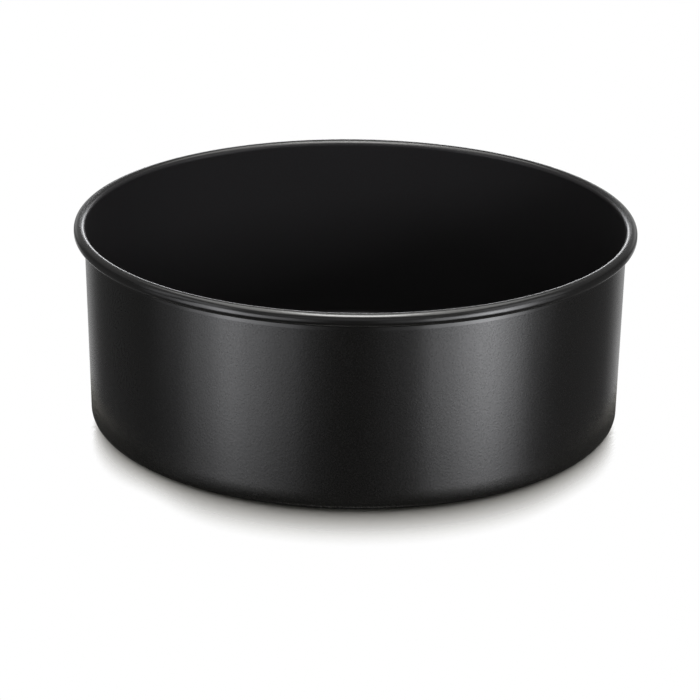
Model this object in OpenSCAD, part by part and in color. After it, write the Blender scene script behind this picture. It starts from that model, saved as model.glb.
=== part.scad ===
// Deep round cake tin: one drawn sheet-steel shell with a rim rolled over a wire.
// The origin is on the table under the middle of the base, and +Z is up the axis.

/* [Overall] */
// Inside diameter at the rim
mouth_d = 203; // [140:1:310]
// Height from the table to the top of the rim
pan_h = 76; // [40:1:130]
// Angle of the wall from upright, in degrees
wall_draft = 1; // [0:0.25:8]

/* [Sheet] */
// Thickness of the sheet steel
sheet_t = 0.5; // [0.3:0.05:1.2]
// Inside radius of the corner between wall and base
corner_r = 2.6; // [1:0.2:9]

/* [Base] */
// Width of the flat ring that the tin stands on
foot_w = 7; // [3:0.5:14]
// Height of the middle of the base above that ring
panel_rise = 0.6; // [0.3:0.1:2]
// Width of the slope between the ring and the middle of the base
slope_w = 3; // [1:0.5:6]

/* [Rolled rim] */
// Diameter of the wire in the rim
wire_d = 3.2; // [2:0.1:5]
// Room round the wire inside the rolled sheet
wire_play = 0.1; // [0.05:0.05:0.4]
// Straight length on the inner and outer side of the roll
roll_flat = 0.6; // [0.2:0.1:2]
// Gap between the rolled edge and the wall
lip_gap = 0.4; // [0.2:0.1:1]
// Gap between the two ends of the wire
wire_gap = 1.5; // [0.5:0.5:6]

/* [Hidden] */
coating_colour = "#1c1b1c";
wire_colour = "#a9abad";
round_fn = 180;
bend_fn = 48;

// How deep the wall's lower end lies in the rounded corner, so that the two are one piece
weld = sheet_t / 500;
// How far a cut runs past what it cuts
overrun = sheet_t;

// The roll: its outer radius, and where the centres of its two bends lie
mouth_r = mouth_d / 2;
roll_r = wire_d / 2 + wire_play + sheet_t;
roll_x = mouth_r + roll_r;
roll_top_z = pan_h - roll_r;
roll_low_z = roll_top_z - roll_flat;

// The rounded corner at the foot touches the wall and the ring that the tin stands on
corner_out_r = corner_r + sheet_t;
wall_run_z = roll_low_z - corner_out_r * (1 - sin(wall_draft));
corner_x = mouth_r + sheet_t - wall_run_z * tan(wall_draft) - corner_out_r * cos(wall_draft);
slope_x = corner_x - foot_w;
panel_r = slope_x - slope_w;

// Half of the tin filled solid, drawn at a depth below the outer face of the sheet
module filled_tin(depth, top_z) {
  bend_r = corner_out_r - depth;
  reach = bend_r - weld;
  polygon([
    [0, panel_rise + depth],
    [panel_r, panel_rise + depth],
    [slope_x, depth],
    [corner_x, depth],
    [corner_x + reach * cos(wall_draft), corner_out_r - reach * sin(wall_draft)],
    [mouth_r + sheet_t - depth, roll_low_z],
    [mouth_r + sheet_t - depth, top_z],
    [0, top_z]
  ]);
  translate([corner_x, corner_out_r]) circle(r = bend_r, $fn = bend_fn);
}

// The roll filled solid, drawn at a depth below the outer face of the sheet
module filled_roll(depth) {
  bend_r = roll_r - depth;
  translate([roll_x, roll_top_z]) circle(r = bend_r, $fn = bend_fn);
  translate([roll_x, roll_low_z]) circle(r = bend_r, $fn = bend_fn);
  translate([roll_x - bend_r, roll_low_z]) square([2 * bend_r, roll_flat]);
}

// Half of the shell's cross-section, from the middle of the base to the rolled edge
module shell_section() {
  difference() {
    filled_tin(0, roll_top_z);
    filled_tin(sheet_t, roll_top_z + overrun);
  }
  difference() {
    filled_roll(0);
    filled_roll(sheet_t);
    // The edge stops short of the wall, under the wire
    translate([mouth_r - overrun, roll_low_z - roll_r - overrun])
      square([overrun + sheet_t + lip_gap, roll_r + overrun]);
  }
}

// Base, wall and rolled rim, drawn from one blank
module pan_shell() {
  color(coating_colour)
    rotate_extrude($fn = round_fn) shell_section();
}

// Bead wire inside the roll, bent to a ring with its ends at the back
module rim_wire() {
  gap_angle = 2 * asin(wire_gap / (2 * roll_x));
  color(wire_colour)
    rotate_extrude(start = 90 + gap_angle / 2, angle = 360 - gap_angle, $fn = round_fn)
      translate([roll_x, roll_top_z]) circle(d = wire_d, $fn = bend_fn);
}

pan_shell();
rim_wire();
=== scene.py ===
import math

import bpy
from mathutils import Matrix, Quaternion, Vector


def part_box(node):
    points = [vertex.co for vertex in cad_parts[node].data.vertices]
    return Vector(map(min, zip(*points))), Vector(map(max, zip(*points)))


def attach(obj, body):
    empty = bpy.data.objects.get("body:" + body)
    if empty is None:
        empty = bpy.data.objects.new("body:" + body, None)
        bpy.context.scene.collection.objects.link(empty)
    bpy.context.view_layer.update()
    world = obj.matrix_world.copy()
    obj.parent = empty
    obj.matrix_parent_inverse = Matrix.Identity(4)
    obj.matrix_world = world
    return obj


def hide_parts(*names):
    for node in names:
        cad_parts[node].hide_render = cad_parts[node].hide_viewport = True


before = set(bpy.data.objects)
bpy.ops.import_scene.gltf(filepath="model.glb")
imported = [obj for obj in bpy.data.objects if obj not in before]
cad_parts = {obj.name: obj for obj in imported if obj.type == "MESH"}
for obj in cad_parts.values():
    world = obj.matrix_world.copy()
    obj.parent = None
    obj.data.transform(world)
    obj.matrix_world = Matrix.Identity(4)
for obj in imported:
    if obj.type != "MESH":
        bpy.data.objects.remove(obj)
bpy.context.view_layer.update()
mm = 0.001
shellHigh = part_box("pan_shell")[1]
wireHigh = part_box("rim_wire")[1]


# small tools

def linearChannel(level):
    return level / 12.92 if level <= 0.04045 else ((level + 0.055) / 1.055) ** 2.4


def srgb(hexCode):
    # an sRGB hex value as the linear colour that a socket wants
    levels = [int(hexCode[i:i + 2], 16) / 255 for i in (1, 3, 5)]
    return (*[linearChannel(level) for level in levels], 1.0)


def addNode(tree, kind, values=None, links=None, **settings):
    # one shader node with its settings, its fixed values and what is plugged into it
    node = tree.nodes.new(kind)
    for name, setting in settings.items():
        setattr(node, name, setting)
    for name, value in (values or {}).items():
        node.inputs[name].default_value = value
    for name, socket in (links or {}).items():
        tree.links.new(socket, node.inputs[name])
    return node


def newMaterial(name):
    material = bpy.data.materials.new(name)
    material.use_nodes = True
    material.node_tree.nodes.clear()
    return material, material.node_tree


def addObject(name, mesh):
    piece = bpy.data.objects.new(name, mesh)
    bpy.context.scene.collection.objects.link(piece)
    return piece


def arc(centre, radius, fromDeg, toDeg, steps):
    # the points of a bend, both ends included
    turns = [math.radians(fromDeg + (toDeg - fromDeg) * i / steps) for i in range(steps + 1)]
    return [(centre[0] + radius * math.cos(t), centre[1] + radius * math.sin(t)) for t in turns]


def line(start, end, steps):
    # the points of a straight stretch, without its two ends
    return [tuple(a + (b - a) * i / steps for a, b in zip(start, end)) for i in range(1, steps)]


# camera: where the photograph was taken from

camera = {
    "distance": 1101 * mm,      # from the middle of the rim
    "rimMiddle": 73.5 * mm,     # the height of that middle above the table
    "elevation": 18.42,         # degrees above the table
    "aim": (-1.6 * mm, 0, 23.0 * mm),
    "roll": 0.63,               # degrees
    "lens": 149.9,              # mm, for the sensor below
    "sensor": 36,               # mm wide
    "nearest": 10 * mm,         # nothing closer to the camera is drawn
}


def placeCamera(c):
    up = math.radians(c["elevation"])
    lens = bpy.data.cameras.new("photoCamera")
    lens.lens = c["lens"]
    lens.sensor_width = c["sensor"]
    lens.clip_start = c["nearest"]
    eye = addObject("photoCamera", lens)
    eye.location = (0, -c["distance"] * math.cos(up), c["rimMiddle"] + c["distance"] * math.sin(up))
    look = (Vector(c["aim"]) - eye.location).to_track_quat("-Z", "Y")
    eye.rotation_mode = "QUATERNION"
    eye.rotation_quaternion = look @ Quaternion((0, 0, 1), math.radians(c["roll"]))
    bpy.context.scene.camera = eye


placeCamera(camera)
print("camera placed")


# coated sheet steel: drawn from one blank, then sprayed and baked
# PTFE has an IOR of 1.35 and its binder resin about 1.5, so the coat's own depends on the resin at its top

coatOutside = {
    "deep": "#0a0a09", "pigment": "#141312",    # carbon black, and the mineral filler in it
    "ior": 1.42, "roughness": 0.26,
    "grainSpread": 0.18,        # how much the roughness varies from grain to grain
    "cloudSpread": 0.05,        # and slowly, over the whole wall
    # real peel and grain are 0.1 to 0.3 mm wide, too fine for the render, so both are drawn coarser
    "peelSize": 0.74 * mm, "peelHeight": 0.023 * mm, "peelDetail": 1.5, "peelFineness": 0.4,
    "grainSize": 0.56 * mm, "grainHeight": 0.008 * mm, "grainDetail": 2.0, "grainFineness": 0.6,
    "cloudSize": 28 * mm, "cloudDetail": 3.0,
}
# inside, the film is matt and even with little resin on top; it is the same coat as outside, but its
# colours are drawn much paler: painted light that stands in for the light inside the tin
coatInsidePaintedLight = dict(coatOutside, deep="#262526", pigment="#323132", ior=1.35, roughness=0.30,
                  grainSpread=0.03, peelHeight=0.003 * mm, grainHeight=0.001 * mm)
# over the roll, the bend draws the wet film level and rich in resin: it is smoother and glints more
coatRoll = dict(coatOutside, ior=1.52, roughness=0.23,
                grainSpread=0.04, peelHeight=0.004 * mm, grainHeight=0.001 * mm)

coats = {                       # the tin's material slots, in their order
    "nonstickCoatingOutside": coatOutside,
    "nonstickCoatingRoll": coatRoll,
    "nonstickCoatingInside": coatInsidePaintedLight,
}


def nonstickCoating(name, c):
    # sprayed PTFE topcoat: soft satin gloss, a fine orange peel and mineral grain just under the film
    material, tree = newMaterial(name)
    place = addNode(tree, "ShaderNodeTexCoord").outputs["Object"]
    peel = addNode(tree, "ShaderNodeTexNoise",
                   {"Scale": 1 / c["peelSize"], "Detail": c["peelDetail"],
                    "Roughness": c["peelFineness"]}, {"Vector": place})
    grain = addNode(tree, "ShaderNodeTexNoise",
                    {"Scale": 1 / c["grainSize"], "Detail": c["grainDetail"],
                     "Roughness": c["grainFineness"]}, {"Vector": place})
    cloud = addNode(tree, "ShaderNodeTexNoise", {"Scale": 1 / c["cloudSize"], "Detail": c["cloudDetail"]},
                    {"Vector": place})
    tint = addNode(tree, "ShaderNodeMix", {6: srgb(c["deep"]), 7: srgb(c["pigment"])},
                   {0: grain.outputs[0]}, data_type="RGBA")
    # the roughness swings evenly about its typical value
    smoothest = c["roughness"] - (c["grainSpread"] + c["cloudSpread"]) / 2
    clouded = addNode(tree, "ShaderNodeMath", {1: c["cloudSpread"], 2: smoothest},
                      {0: cloud.outputs[0]}, operation="MULTIPLY_ADD")
    gloss = addNode(tree, "ShaderNodeMath", {1: c["grainSpread"]},
                    {0: grain.outputs[0], 2: clouded.outputs[0]}, operation="MULTIPLY_ADD")
    peelBump = addNode(tree, "ShaderNodeBump", {"Strength": 1.0, "Distance": c["peelHeight"]},
                       {"Height": peel.outputs[0]})
    grainBump = addNode(tree, "ShaderNodeBump", {"Strength": 1.0, "Distance": c["grainHeight"]},
                        {"Height": grain.outputs[0], "Normal": peelBump.outputs[0]})
    film = addNode(tree, "ShaderNodeBsdfPrincipled", {"IOR": c["ior"]},
                   {"Base Color": tint.outputs[2], "Roughness": gloss.outputs[0],
                    "Normal": grainBump.outputs[0]})
    addNode(tree, "ShaderNodeOutputMaterial", links={"Surface": film.outputs[0]})
    return material


tin = {
    "sheet": 0.5 * mm,
    "draft": 1.0,               # degrees that the wall leans outward
    "rollRadius": 2.2 * mm,
    "rollFlat": 0.6 * mm,       # the upright stretch between the roll's upper and lower bend
    "lipGap": 0.4 * mm,         # between the sheet's raw edge and the wall
    "cornerInside": 2.6 * mm,
    "footWidth": 7 * mm,        # the flat ring that the tin stands on
    "slopeWidth": 3 * mm, "panelRise": 0.6 * mm,
    "coatBorder": 130,          # degrees over the roll, where the inside's coat begins
    "ovality": 0.10 * mm, "ovalTurn": 0.7,      # turns are in radians
    "rimWave": 0.02 * mm, "waves": 3, "waveTurn": 1.1,
    "waveFade": 6,              # the power by which the wave dies out below the rim
    # how finely the mesh follows the section
    "turns": 480, "wallRings": 16, "baseRings": 6, "rollSteps": 20, "footSteps": 12,
    "slopeSteps": 8, "standSteps": 4, "hiddenSteps": 8, "edgeSteps": 8,
}


def tinSection(t):
    # the closed cross-section of the sheet, as stretches of (radius, height) points, each with its coat
    sheet, roll = t["sheet"], t["rollRadius"]
    draft = math.radians(t["draft"])
    mouth = shellHigh.x - 2 * roll
    topZ = shellHigh.z - roll
    lowZ = topZ - t["rollFlat"]
    rollX = mouth + roll
    # the corner touches the leaning wall and the base smoothly
    cornerOut = t["cornerInside"] + sheet
    cornerX = mouth + sheet - (lowZ - cornerOut * (1 - math.sin(draft))) * math.tan(draft)
    cornerX -= cornerOut * math.cos(draft)
    slopeX = cornerX - t["footWidth"]
    panelR = slopeX - t["slopeWidth"]
    # how far under the roll the sheet curls before its edge comes within the gap of the wall
    lip = math.degrees(math.acos((t["lipGap"] + sheet - roll) / (roll - sheet / 2)))

    def base(z):
        # from the middle outward: rings of equal area, a soft slope down, then the ring it stands on
        rings, slopeSteps = t["baseRings"], t["slopeSteps"]
        flat = [(panelR * (i / rings) ** 0.5, t["panelRise"] + z) for i in range(1, rings + 1)]
        slope = []
        for i in range(1, slopeSteps + 1):
            drop = t["panelRise"] * (1 + math.cos(math.pi * i / slopeSteps)) / 2
            slope.append((panelR + (slopeX - panelR) * i / slopeSteps, z + drop))
        return [(0.0, t["panelRise"] + z)] + flat + slope + line((slopeX, z), (cornerX, z), t["standSteps"])

    def foot(radius):
        return arc((cornerX, cornerOut), radius, -90, -t["draft"], t["footSteps"])

    footOut, footIn = foot(cornerOut), foot(t["cornerInside"])
    outer = base(0) + footOut + line(footOut[-1], (mouth + sheet, lowZ), t["wallRings"])

    steps, hidden = t["rollSteps"], t["hiddenSteps"]
    hollow = [(mouth + sheet, lowZ)] + arc((rollX, topZ), roll - sheet, 180, 0, 2 * hidden)
    hollow += arc((rollX, lowZ), roll - sheet, 0, -lip, hidden)
    turn = math.radians(-lip)
    edge = (rollX + (roll - sheet / 2) * math.cos(turn), lowZ + (roll - sheet / 2) * math.sin(turn))
    rawEdge = arc(edge, sheet / 2, 180 - lip, 360 - lip, t["edgeSteps"])[1:-1]
    rolled = arc((rollX, lowZ), roll, -lip, 0, steps)
    rolled += arc((rollX, topZ), roll, 0, t["coatBorder"], 2 * steps)

    inner = arc((rollX, topZ), roll, t["coatBorder"], 180, steps)[1:]
    inner += [(mouth, lowZ)] + line((mouth, lowZ), footIn[-1], t["wallRings"])
    inner += footIn[::-1] + base(sheet)[::-1]
    return [(outer, "nonstickCoatingOutside"),
            (hollow + rawEdge + rolled, "nonstickCoatingRoll"),
            (inner, "nonstickCoatingInside")]


def drawnShape(t, point, turn):
    # what pressing and rolling leave: a trace of ovality towards the rim, and a faint wave along the roll
    share = point[1] / shellHigh.z
    oval = t["ovality"] * share * math.cos(2 * turn + t["ovalTurn"])
    wave = t["rimWave"] * share ** t["waveFade"] * math.sin(t["waves"] * turn + t["waveTurn"])
    radius = point[0] * (1 + oval / shellHigh.x)
    return radius * math.cos(turn), radius * math.sin(turn), point[1] + wave


def buildTin(t):
    section, coatAt = [], []
    for stretch, coat in tinSection(t):
        section += stretch
        coatAt += [list(coats).index(coat)] * len(stretch)
    turns = t["turns"]
    points, rings = [], []
    for point in section:
        if point[0] == 0:
            # the middle of the base is one point, not a ring
            rings.append([len(points)])
            points.append((0.0, 0.0, point[1]))
            continue
        rings.append(list(range(len(points), len(points) + turns)))
        points += [drawnShape(t, point, 2 * math.pi * i / turns) for i in range(turns)]
    faces, coatOfFace = [], []
    for n in range(len(rings) - 1):
        low, high = rings[n], rings[n + 1]
        for i in range(turns):
            j = (i + 1) % turns
            if len(low) == 1:
                faces.append((low[0], high[j], high[i]))
            elif len(high) == 1:
                faces.append((low[i], low[j], high[0]))
            else:
                faces.append((low[i], low[j], high[j], high[i]))
            coatOfFace.append(coatAt[n + 1])
    mesh = bpy.data.meshes.new("tinShell")
    mesh.from_pydata(points, [], faces)
    mesh.polygons.foreach_set("material_index", coatOfFace)
    mesh.shade_smooth()
    mesh.validate()
    mesh.update()
    return mesh


shell = addObject("tinShell", buildTin(tin))
for coatName, coat in coats.items():
    shell.data.materials.append(nonstickCoating(coatName, coat))
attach(shell, "root")
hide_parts("pan_shell")
print("shell built:", len(shell.data.polygons), "faces")


# bead wire: drawn mild steel, seen only through the gap under the roll

wire = {
    "diameter": 3.2 * mm,
    "gap": 1.5 * mm,            # between its butt ends, at the back
    "turns": 360, "sides": 24,
    "bright": "#a7a5a1", "dull": "#6f6c68",
    "roughest": 0.46, "smoothest": 0.26,
    "patchSize": 2.4 * mm, "patchDetail": 4.0,
}


def drawnWireSteel(w):
    # drawn through a die: bright where the die has rubbed it, with duller patches of drawing scale
    material, tree = newMaterial("drawnWireSteel")
    place = addNode(tree, "ShaderNodeTexCoord").outputs["Object"]
    scale = addNode(tree, "ShaderNodeTexNoise", {"Scale": 1 / w["patchSize"], "Detail": w["patchDetail"]},
                    {"Vector": place})
    tint = addNode(tree, "ShaderNodeMix", {6: srgb(w["dull"]), 7: srgb(w["bright"])},
                   {0: scale.outputs[0]}, data_type="RGBA")
    gloss = addNode(tree, "ShaderNodeMapRange", {"To Min": w["roughest"], "To Max": w["smoothest"]},
                    {"Value": scale.outputs[0]})
    steel = addNode(tree, "ShaderNodeBsdfPrincipled", {"Metallic": 1.0},
                    {"Base Color": tint.outputs[2], "Roughness": gloss.outputs[0]})
    addNode(tree, "ShaderNodeOutputMaterial", links={"Surface": steel.outputs[0]})
    return material


def buildWire(w):
    ringR = shellHigh.x - tin["rollRadius"]
    middleZ = wireHigh.z - w["diameter"] / 2
    half = math.asin(w["gap"] / 2 / ringR)
    points, faces = [], []
    for i in range(w["turns"] + 1):
        turn = math.pi / 2 + half + (2 * math.pi - 2 * half) * i / w["turns"]
        for r, z in arc((ringR, middleZ), w["diameter"] / 2, 0, 360, w["sides"])[:-1]:
            points.append(drawnShape(tin, (r, z), turn))
    for i in range(w["turns"]):
        for s in range(w["sides"]):
            a, b = i * w["sides"] + s, i * w["sides"] + (s + 1) % w["sides"]
            faces.append((a, a + w["sides"], b + w["sides"], b))
    # the two cut ends
    faces.append(tuple(range(w["sides"])))
    last = w["turns"] * w["sides"]
    faces.append(tuple(reversed(range(last, last + w["sides"]))))
    mesh = bpy.data.meshes.new("beadWire")
    mesh.from_pydata(points, [], faces)
    mesh.shade_smooth()
    mesh.update()
    return mesh


beadWire = addObject("beadWire", buildWire(wire))
beadWire.data.materials.append(drawnWireSteel(wire))
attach(beadWire, "root")
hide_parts("rim_wire")
print("wire built")


# stage: a small pale table that fades into a white backdrop, and soft boxes

stage = {
    "tableRadius": 160 * mm, "tableRings": 64, "tableSides": 256,
    "innerShare": 0.9,          # of the foot's radius, where the table's rings begin
    "table": "#e6e3d9", "tableRoughness": 0.22,
    # painted shadow: where the white takes over from the table and the shadow on it, out from the foot;
    # these set the shadow's reach and how it fades, more than the lamps do
    "footRadius": 97.7 * mm, "shadowCore": 2.3 * mm, "shadowReach": 32.5 * mm,
    "shadowCurve": 1.25, "shadowEdge": 2.5 * mm,
    # it reaches less far towards the tin's two sides: the place, its width, and the share taken off
    "shadowSides": [(-73 * mm, 14 * mm, 0.22), (79 * mm, 13 * mm, 0.10)],
    # a painted warm tint for the shadow's half-tones, fading to white
    "shadowTint": "#fffdf7", "white": "#ffffff",
    # the table is in reflections up to the first radius, and the backdrop from the second on
    "mirrorFrom": 109 * mm, "mirrorTo": 119 * mm,
    # the room in reflections: dim in front, lighter towards the back, and lighter again above level
    "dimRoom": 0.04, "dimSides": 0.12, "sidesFrom": -0.6, "sidesFull": 0.3,
    "upperRoom": 0.3, "upperFrom": 0.1, "upperFull": 0.35,
    # the backdrop in reflections: its way, how close to that a reflection has to point, and its level
    # by height, from -1 straight down to 1 straight up
    "backdropWay": (0.03, 1, 0), "backdropFrom": 0.66, "backdropFull": 0.99,
    "backdrop": [(-1.0, 1.0), (-0.36, 1.0), (-0.16, 0.2), (0.0, 0.8), (0.16, 0.8), (0.24, 0.3)],
}


def seenByEye(tree):
    # what the camera sees straight, and what it sees in a reflection or through something clear
    path = addNode(tree, "ShaderNodeLightPath")
    shiny = addNode(tree, "ShaderNodeMath", operation="MAXIMUM",
                    links={0: path.outputs["Is Glossy Ray"], 1: path.outputs["Is Transmission Ray"]})
    return path.outputs["Is Camera Ray"], shiny.outputs[0]


def paintedShadowShowThrough(s, x, y):
    # painted shadow mask: 0 under the tin, where the table shows its own lit and shaded colour, to 1 where
    # the white backdrop has taken over; its curve and reach paint how the shadow lightens outward and where
    # it ends
    foot = s["footRadius"]
    half = math.sqrt(max(foot * foot - x * x, 0))
    core = s["shadowCore"] * (half / foot) ** 2
    shorter = sum(cut * math.exp(-((x - at) / width) ** 2) for at, width, cut in s["shadowSides"])
    ahead = (abs(y) - half - core) / (s["shadowReach"] * (1 - shorter) - core)
    beside = (abs(x) - foot) / s["shadowEdge"] + 0.5
    gone = min(max(ahead, beside, 0), 1)
    return 1 - (1 - gone) ** s["shadowCurve"]


def paleTable(s):
    # satin laminate, a warm white: it holds the shadow that the lamps cast near the foot, and mirrors the
    # foot of the tin at a low angle; a painted shadow mask fades it into the white, and a painted warm tint
    # colours the shadow's half-tones
    material, tree = newMaterial("paleLaminate")
    paintedShadowFade = addNode(tree, "ShaderNodeAttribute", attribute_name="paintedShadowFade")
    place = addNode(tree, "ShaderNodeTexCoord").outputs["Object"]
    reach = addNode(tree, "ShaderNodeVectorMath", links={0: place}, operation="LENGTH")
    beyond = addNode(tree, "ShaderNodeMapRange", {"From Min": s["mirrorFrom"], "From Max": s["mirrorTo"]},
                     {"Value": reach.outputs["Value"]})
    shiny = seenByEye(tree)[1]
    clearness = addNode(tree, "ShaderNodeMix",
                        links={0: shiny, 2: paintedShadowFade.outputs["Fac"], 3: beyond.outputs[0]})
    top = addNode(tree, "ShaderNodeBsdfPrincipled",
                  {"Base Color": srgb(s["table"]), "Roughness": s["tableRoughness"]})
    # painted warm tint where the shadow fades into the white
    paintedShadowWarmth = addNode(tree, "ShaderNodeMix", {6: srgb(s["shadowTint"]), 7: srgb(s["white"])},
                     {0: paintedShadowFade.outputs["Fac"]}, data_type="RGBA")
    clear = addNode(tree, "ShaderNodeBsdfTransparent", links={"Color": paintedShadowWarmth.outputs[2]})
    mixed = addNode(tree, "ShaderNodeMixShader",
                    links={0: clearness.outputs[0], 1: top.outputs[0], 2: clear.outputs[0]})
    addNode(tree, "ShaderNodeOutputMaterial", links={"Surface": mixed.outputs[0]})
    return material


def buildTable(s):
    rings, sides = s["tableRings"], s["tableSides"]
    inner = s["footRadius"] * s["innerShare"]
    points = [(0.0, 0.0, 0.0)]
    for n in range(rings + 1):
        reach = inner + (s["tableRadius"] - inner) * n / rings
        points += [(x, y, 0.0) for x, y in arc((0, 0), reach, 0, 360, sides)[:-1]]
    faces = [(0, 1 + i, 1 + (i + 1) % sides) for i in range(sides)]
    for n in range(rings):
        for i in range(sides):
            a, b = 1 + n * sides + i, 1 + n * sides + (i + 1) % sides
            faces.append((a, a + sides, b + sides, b))
    mesh = bpy.data.meshes.new("tableTop")
    mesh.from_pydata(points, [], faces)
    # the painted shadow mask, kept on the table's points
    paintedShadowFade = mesh.attributes.new("paintedShadowFade", "FLOAT", "POINT")
    paintedShadowFade.data.foreach_set("value", [paintedShadowShowThrough(s, x, y) for x, y, z in points])
    mesh.materials.append(paleTable(s))
    addObject("tableTop", mesh)


def whiteRoom(s):
    # white wherever the camera looks; reflections see the lit backdrop behind the tin and a dim room
    world = bpy.data.worlds.new("whiteRoom")
    world.use_nodes = True
    tree = world.node_tree
    tree.nodes.clear()
    direct, shiny = seenByEye(tree)
    look = addNode(tree, "ShaderNodeTexCoord").outputs["Generated"]
    way = addNode(tree, "ShaderNodeSeparateXYZ", links={0: look})

    # the backdrop: a ramp of levels by height, kept to the reflections that point at it
    along = addNode(tree, "ShaderNodeVectorMath", {1: s["backdropWay"]}, {0: look}, operation="DOT_PRODUCT")
    behind = addNode(tree, "ShaderNodeMapRange",
                     {"From Min": s["backdropFrom"], "From Max": s["backdropFull"]},
                     {"Value": along.outputs["Value"]}, interpolation_type="SMOOTHSTEP")
    height = addNode(tree, "ShaderNodeMapRange", {"From Min": -1.0, "From Max": 1.0},
                     {"Value": way.outputs["Z"]})
    ramp = addNode(tree, "ShaderNodeValToRGB", links={"Fac": height.outputs[0]})
    brightest = max(level for at, level in s["backdrop"])
    steps = ramp.color_ramp.elements
    while len(steps) < len(s["backdrop"]):
        steps.new(1.0)
    for step, (at, level) in zip(steps, s["backdrop"]):
        step.position = (at + 1) / 2
        step.color = (level / brightest, level / brightest, level / brightest, 1)
    lit = addNode(tree, "ShaderNodeMath", {1: brightest}, {0: ramp.outputs["Color"]}, operation="MULTIPLY")
    mirrored = addNode(tree, "ShaderNodeMath", links={0: shiny, 1: behind.outputs[0]}, operation="MULTIPLY")
    fromBack = addNode(tree, "ShaderNodeMath", links={0: mirrored.outputs[0], 1: lit.outputs[0]},
                       operation="MULTIPLY")

    # the rest of the room
    sides = addNode(tree, "ShaderNodeMapRange",
                    {"From Min": s["sidesFrom"], "From Max": s["sidesFull"],
                     "To Min": s["dimRoom"], "To Max": s["dimSides"]}, {"Value": way.outputs["Y"]})
    above = addNode(tree, "ShaderNodeMapRange",
                    {"From Min": s["upperFrom"], "From Max": s["upperFull"], "To Max": s["upperRoom"]},
                    {"Value": way.outputs["Z"]})
    walls = addNode(tree, "ShaderNodeMath", links={0: sides.outputs[0], 1: above.outputs[0]},
                    operation="MAXIMUM")
    room = addNode(tree, "ShaderNodeMath", links={0: shiny, 1: walls.outputs[0]}, operation="MULTIPLY")
    around = addNode(tree, "ShaderNodeMath", links={0: fromBack.outputs[0], 1: room.outputs[0]},
                     operation="MAXIMUM")

    # white for the camera, and no less than the dim room's level for matt surfaces
    white = addNode(tree, "ShaderNodeMath", links={0: direct, 1: around.outputs[0]}, operation="MAXIMUM")
    strength = addNode(tree, "ShaderNodeMath", {1: s["dimRoom"]}, {0: white.outputs[0]},
                       operation="MAXIMUM")
    light = addNode(tree, "ShaderNodeBackground", {"Color": srgb(s["white"])},
                    {"Strength": strength.outputs[0]})
    addNode(tree, "ShaderNodeOutputWorld", links={"Surface": light.outputs[0]})
    bpy.context.scene.world = world


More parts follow.
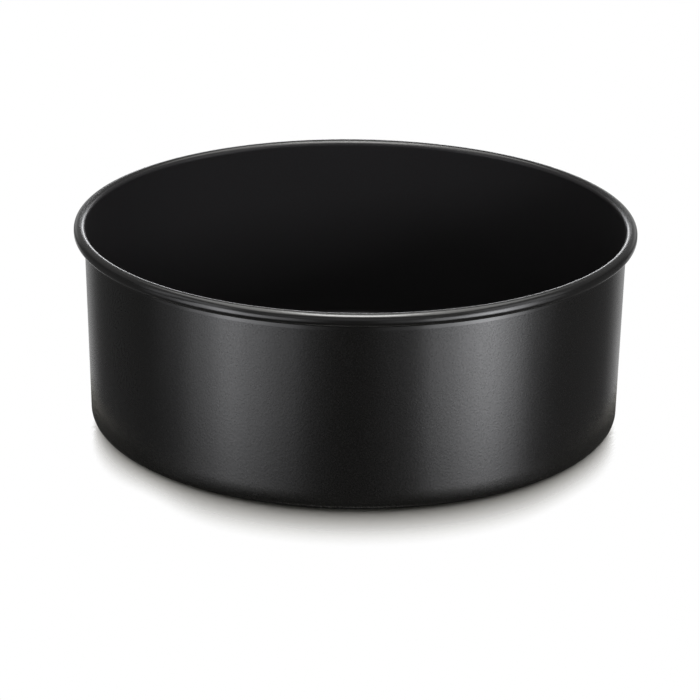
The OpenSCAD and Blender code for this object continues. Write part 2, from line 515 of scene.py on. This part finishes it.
# soft boxes round the tin, in mm: azimuth in degrees from the camera's side, right positive, bottom and
# top above the table, and radiance as a multiple of white
# a "matt" box lights without showing in reflections, and a "gloss" box shows only in reflections
# the wall is seen from above and mirrors what is low down, so the boxes below the table make its bands
boxDistance = 900
roundBoxes = {
    "leftCore": {"azimuth": -50, "width": 160, "bottom": -320, "top": -130, "radiance": 2.3},
    "leftStrip": {"azimuth": -46, "width": 380, "bottom": -330, "top": -130, "radiance": 3.45},
    "leftHalo": {"azimuth": -46, "width": 820, "bottom": -370, "top": -130, "radiance": 1.7},
    "leftTail": {"azimuth": -49, "width": 1400, "bottom": -370, "top": -130, "radiance": 0.5},
    "leftUpper": {"azimuth": -52, "width": 300, "bottom": -130, "top": 60, "radiance": 3.9},
    "leftKey": {"azimuth": -66, "width": 220, "bottom": 80, "top": 300, "radiance": 5.6,
                "seen": "matt", "onTinOnly": True},
    "leftFill": {"azimuth": -66, "width": 600, "bottom": 60, "top": 700, "radiance": 1.1,
                 "seen": "gloss"},
    "rightCore": {"azimuth": 54, "width": 160, "bottom": -320, "top": -130, "radiance": 2.7},
    "rightStrip": {"azimuth": 52, "width": 340, "bottom": -330, "top": -130, "radiance": 3.1},
    "rightHalo": {"azimuth": 50, "width": 720, "bottom": -370, "top": -130, "radiance": 3.5},
    "rightTail": {"azimuth": 48, "width": 1400, "bottom": -370, "top": -130, "radiance": 0.6},
    "rightUpper": {"azimuth": 56, "width": 400, "bottom": -130, "top": 60, "radiance": 4.4},
    "rightKey": {"azimuth": 34, "width": 220, "bottom": 180, "top": 340, "radiance": 24.5,
                 "seen": "matt", "onTinOnly": True},
    "frontKey": {"azimuth": 4, "width": 260, "bottom": 180, "top": 390, "radiance": 6.5,
                 "seen": "matt", "onTinOnly": True},
    "rightFill": {"azimuth": 66, "width": 600, "bottom": 60, "top": 700, "radiance": 1.1,
                  "seen": "gloss"},
    "frontFill": {"azimuth": 0, "width": 1200, "bottom": 0, "top": 420, "radiance": 0.4},
    "backGlint": {"azimuth": 180, "away": 500, "width": 300, "bottom": 115, "top": 180,
                  "radiance": 4.2, "seen": "gloss"},
}
# soft boxes over the tin, in mm, from front to back of its axis
overHeight = 1150
overBoxes = {
    "overheadBox": {"width": 300, "front": 40, "back": 460, "radiance": 26, "seen": "matt"},
    "overheadGlint": {"width": 460, "front": -520, "back": 240, "radiance": 17.5, "seen": "gloss"},
    "overheadWings": {"width": 1500, "front": -700, "back": 700, "radiance": 2.9, "seen": "gloss"},
}
# a little cool from the sides and a little warm from above
lampTint = {"round": (0.965, 0.970, 1.0), "over": (1.0, 0.995, 0.975)}


def addSoftBox(name, place, aim, size, tint, s):
    lamp = bpy.data.lights.new(name, "AREA")
    lamp.shape = "RECTANGLE"
    lamp.size, lamp.size_y = size
    lamp.energy = s["radiance"] * math.pi * size[0] * size[1]
    lamp.color = tint
    box = addObject(name, lamp)
    box.location = place
    box.rotation_mode = "QUATERNION"
    box.rotation_quaternion = (Vector(aim) - Vector(place)).to_track_quat("-Z", "Y")
    seen = s.get("seen", "both")
    box.visible_diffuse = seen != "gloss"
    box.visible_glossy = seen != "matt"
    if s.get("onTinOnly"):
        # these would wash out the table's shadow
        lit = bpy.data.collections.new(name + "Lights")
        lit.objects.link(shell)
        box.light_linking.receiver_collection = lit


def lightStage():
    for name, s in roundBoxes.items():
        side = math.radians(s["azimuth"])
        away = s.get("away", boxDistance) * mm
        bottom, top = s["bottom"] * mm, s["top"] * mm
        middle = (bottom + top) / 2
        place = (away * math.sin(side), -away * math.cos(side), middle)
        addSoftBox(name, place, (0, 0, middle), (s["width"] * mm, top - bottom), lampTint["round"], s)
    for name, s in overBoxes.items():
        front, back = s["front"] * mm, s["back"] * mm
        middle = (front + back) / 2
        place = (0, middle, overHeight * mm)
        addSoftBox(name, place, (0, middle, 0), (s["width"] * mm, back - front), lampTint["over"], s)


buildTable(stage)
whiteRoom(stage)
lightStage()
bpy.context.scene.view_settings.view_transform = "Standard"
print("stage lit")
